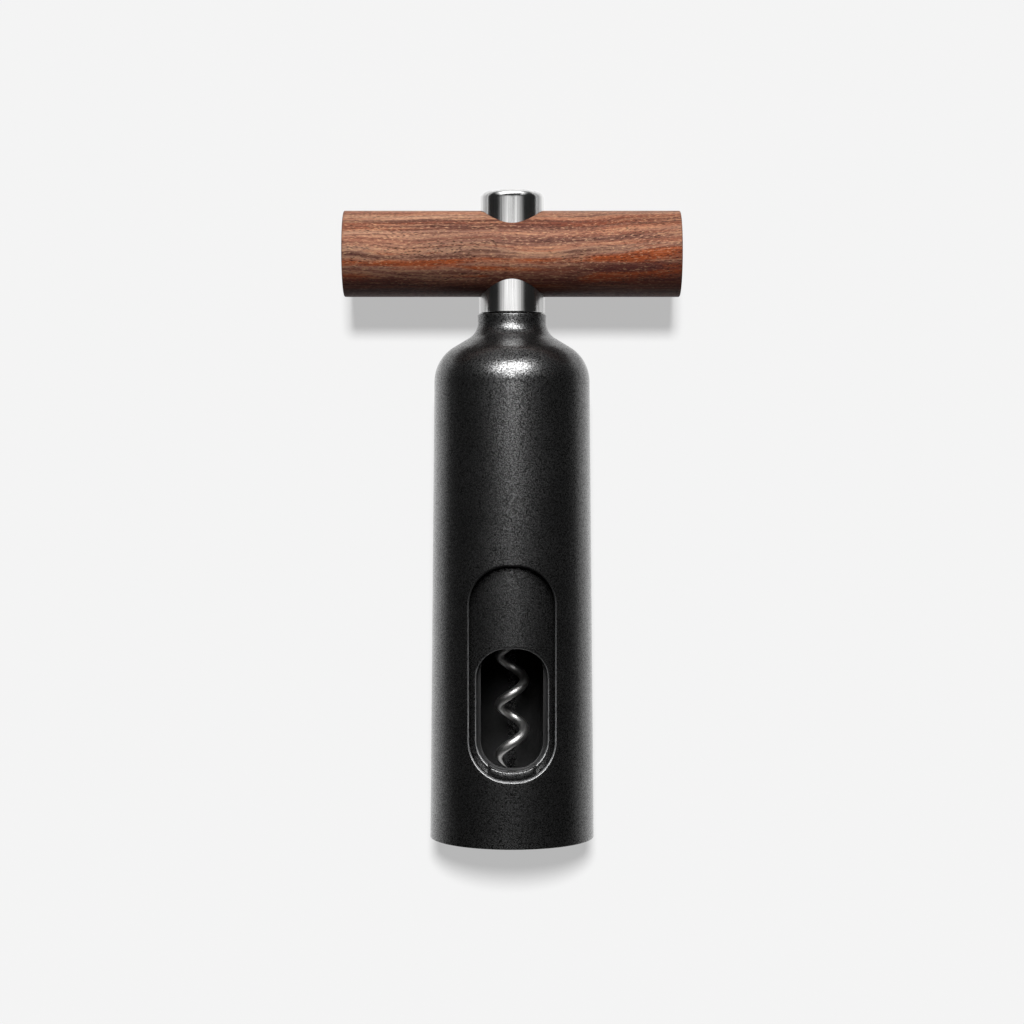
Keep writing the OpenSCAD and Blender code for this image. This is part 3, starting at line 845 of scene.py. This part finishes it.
SURFACE_Y = 0.0232  # the object lies with its back on the photograph's pale surface
SURFACE_REACH = 3.0
SURFACE_GLOW = 0.47
SURFACE_PALE = 0.2  # how much of the sun's light the paper gives back
REFLECTED, REFLECTED_FAR = 0.80, 0.03  # the glow that the object mirrors, close by and far to the sides
FALLOFF, FALLOFF_POWER = 0.075, 2.5  # metres to the side where that glow is halved, and how fast it falls
SUN_STRENGTH, SUN_ANGLE = 7.25, 9
PALE, AMBIENT = 0.913, 0.018  # the world as the camera sees it, and as it lights
PANEL_CELLS = 8
STEEL_SLOTS = ("hub_steel", "worm_steel", "spindle_steel")
CARD_X, CARD_Y, CARD_Z = 0.12, 0.0135, 0.165
LENS_MM, SENSOR_MM = 81, 36
CAMERA_PLACE, CAMERA_DROP = (0, -0.647, 0.108), 1.47  # metres, and degrees below level
middle = (cad_box[0] + cad_box[1]) / 2
target = Vector((0, 0, 0.12))


def from_angles(azimuth, elevation, distance):
    a, e = math.radians(azimuth), math.radians(elevation)
    way = Vector((math.sin(a) * math.cos(e), -math.cos(a) * math.cos(e), math.sin(e)))
    return target + way * distance


def panel(name, centre, aim, width, height, strength, soft, lit):
    """A softbox: a glowing sheet that faces aim, unseen by the camera, and lights only the collection lit.

    soft is how far in from its edges, as a share of its width and height, it takes to reach full strength.
    """
    w, h = width / 2, height / 2
    n = PANEL_CELLS
    verts = [(-w + 2 * w * i / n, -h + 2 * h * j / n, 0) for j in range(n + 1) for i in range(n + 1)]
    faces = [
        (j * (n + 1) + i, j * (n + 1) + i + 1, (j + 1) * (n + 1) + i + 1, (j + 1) * (n + 1) + i)
        for j in range(n) for i in range(n)
    ]
    mesh = bpy.data.meshes.new(name)
    mesh.from_pydata(verts, [], faces)
    made = linked(name, mesh)
    made.location = centre
    made.rotation_euler = (Vector(aim) - Vector(centre)).to_track_quat("Z", "Y").to_euler()
    look = Look(name + "_glow")
    split = look.add("ShaderNodeSeparateXYZ", {0: look.add("ShaderNodeTexCoord").outputs["Generated"]})
    fade = None
    for axis, share in zip(("X", "Y"), soft):
        from_middle = look.math("ABSOLUTE", look.math("SUBTRACT", split.outputs[axis], 0.5))
        part = look.ramp(look.math("SUBTRACT", 0.5, from_middle), (0.0, 0.0), (share, 1.0))
        part.node.color_ramp.interpolation = "EASE"
        fade = part if fade is None else look.math("MULTIPLY", fade, part)
    glow = look.add("ShaderNodeEmission", {"Strength": look.math("MULTIPLY", fade, strength)})
    mesh.materials.append(look.out(glow))
    made.visible_camera = False
    made.visible_shadow = False
    made.light_linking.receiver_collection = lit
    made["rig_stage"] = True
    return made


def surface():
    """The pale sheet behind the object.

    It shows from its front only, so that the object can be seen from behind. What the object mirrors of it
    fades to the sides, where the camera sees it at one strength.
    """
    r = SURFACE_REACH
    mesh = bpy.data.meshes.new("pale_surface")
    mesh.from_pydata([(-r, 0, -r), (r, 0, -r), (r, 0, r), (-r, 0, r)], [], [(0, 1, 2, 3)])
    made = linked("pale_surface", mesh)
    made.location = (0, SURFACE_Y, middle.z)
    look = Look("pale_paper")
    away = look.math("ABSOLUTE", look.axis("X"))
    spread = look.math("POWER", look.math("DIVIDE", away, FALLOFF), FALLOFF_POWER)
    near = look.math("ADD", look.math("DIVIDE", REFLECTED, look.math("ADD", 1.0, spread)), REFLECTED_FAR)
    seen = look.add("ShaderNodeLightPath").outputs["Is Camera Ray"]
    share = look.math("MAXIMUM", seen, look.math("MINIMUM", near, 1.0))
    color = look.mix(share, (0.0, 0.0, 0.0), (SURFACE_PALE,) * 3)
    paper = look.add("ShaderNodeBsdfDiffuse", {"Color": color})
    unseen = look.math("MULTIPLY", look.math("SUBTRACT", 1.0, seen), near)
    strength = look.math("ADD", look.math("MULTIPLY", seen, SURFACE_GLOW), unseen)
    glow = look.add("ShaderNodeEmission", {"Strength": strength})
    lit = look.add("ShaderNodeAddShader", {0: paper.outputs[0], 1: glow.outputs[0]})
    clear = look.add("ShaderNodeBsdfTransparent")
    behind = look.add("ShaderNodeNewGeometry").outputs["Backfacing"]
    choice = look.add("ShaderNodeMixShader", {0: behind, 1: lit.outputs[0], 2: clear.outputs[0]})
    mesh.materials.append(look.out(choice))
    made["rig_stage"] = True
    return made


back = surface()

# What each light reaches: the sun lights the surface only, and the panels light the object only
only_surface = bpy.data.collections.new("surface_only")
only_surface.objects.link(back)
not_hub = bpy.data.collections.new("all_but_the_hub")
only_hub = bpy.data.collections.new("hub_only")
only_steel = bpy.data.collections.new("steel_only")
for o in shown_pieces():
    slot = o.get("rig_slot")
    (only_hub if slot == "hub_steel" else not_hub).objects.link(o)
    if slot in STEEL_SLOTS:
        only_steel.objects.link(o)

sun_data = bpy.data.lights.new("key_sun", "SUN")
sun_data.energy = SUN_STRENGTH
sun_data.angle = math.radians(SUN_ANGLE)
sun = linked("key_sun", sun_data)
sun.rotation_euler = Vector((0.0, 1.0, -0.364)).to_track_quat("-Z", "Y").to_euler()
sun.light_linking.receiver_collection = only_surface

# Name, direction (azimuth, elevation), width, height, strength, soft edges, what it lights
for name, angles, width, height, strength, soft, lit in (
    ("key_softbox", (0, 45), 1.2, 0.96, 20.0, (0.42, 0.2), not_hub),
    ("low_softbox", (0, 20), 0.36, 0.36, 20.0, (0.45, 0.3), not_hub),
    ("hub_key", (-3, 54), 2.1, 1.6, 4.0, (0.48, 0.3), only_hub),
    ("steel_fill", (-3, 0), 2.4, 0.66, 1.45, (0.48, 0.35), only_steel),
):
    panel(name, from_angles(*angles, 1.0), target, width, height, strength, soft, lit)
for name, x in (("steel_card_left", -CARD_X), ("steel_card_right", CARD_X)):
    panel(name, (x, CARD_Y, CARD_Z), (0, CARD_Y, CARD_Z), 0.019, 0.3, 0.75, (0.1, 0.1), only_steel)

world = bpy.data.worlds.new("studio")
world.use_nodes = True
tree = world.node_tree
tree.nodes.clear()
shown = tree.nodes.new("ShaderNodeBackground")
shown.inputs[0].default_value = (PALE, PALE, PALE, 1)
dim = tree.nodes.new("ShaderNodeBackground")
dim.inputs[0].default_value = (AMBIENT, AMBIENT, AMBIENT, 1)
rays = tree.nodes.new("ShaderNodeLightPath")
pick = tree.nodes.new("ShaderNodeMixShader")
out = tree.nodes.new("ShaderNodeOutputWorld")
tree.links.new(rays.outputs["Is Camera Ray"], pick.inputs[0])
tree.links.new(dim.outputs[0], pick.inputs[1])
tree.links.new(shown.outputs[0], pick.inputs[2])
tree.links.new(pick.outputs[0], out.inputs[0])
bpy.context.scene.world = world
bpy.context.scene.view_settings.view_transform = "Standard"
bpy.context.scene.cycles.caustics_reflective = False

camera_data = bpy.data.cameras.new("camera")
camera_data.lens = LENS_MM
camera_data.sensor_width = SENSOR_MM
camera = linked("camera", camera_data)
camera.location = CAMERA_PLACE
camera.rotation_euler = (math.radians(90 - CAMERA_DROP), 0, 0)
bpy.context.scene.camera = camera
